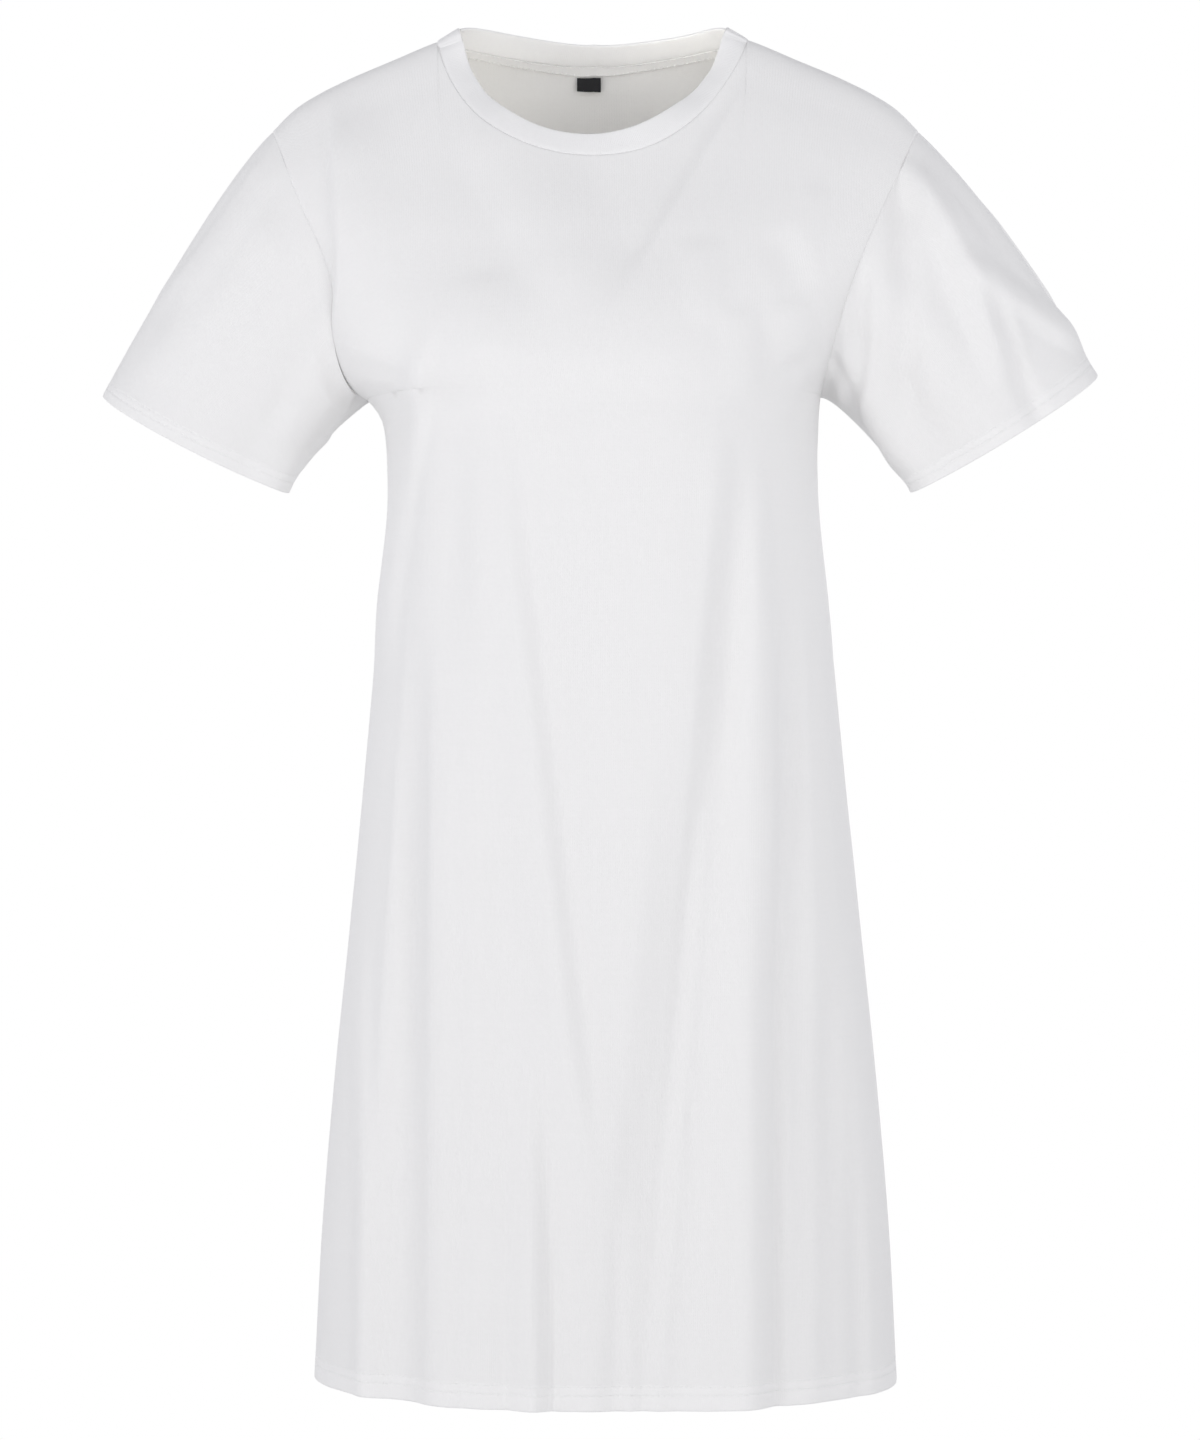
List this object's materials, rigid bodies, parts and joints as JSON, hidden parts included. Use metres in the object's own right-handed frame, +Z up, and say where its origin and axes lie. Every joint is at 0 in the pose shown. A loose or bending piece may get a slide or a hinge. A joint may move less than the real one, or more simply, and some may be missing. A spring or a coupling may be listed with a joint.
{
  "type": "t-shirt dress",
  "caption": "White short-sleeved t-shirt dress with a crew neck, filled out as when worn, hollow and open at the neck, cuffs and hem.",
  "frame": {"origin": "midway between the two points where the shoulder seams reach the neck, where the wearer's shoulders hold it", "axes": "+Z up, towards the wearer's head; the front of the dress faces -Y; +X is on the right of a viewer who faces the front"},
  "size_m": [0.6368, 0.2651, 0.8716],
  "materials": {
    "jersey": "matte cotton jersey",
    "tape": "matte cotton tape",
    "label": "matte woven tape, left bare"
  },
  "bodies": {
    "root": {"front_panel": "jersey", "back_panel": "jersey", "sleeve_left": "jersey", "sleeve_right": "jersey", "neck_band": "jersey", "neck_tape": "tape", "size_label": "label"}
  },
  "joints": []
}
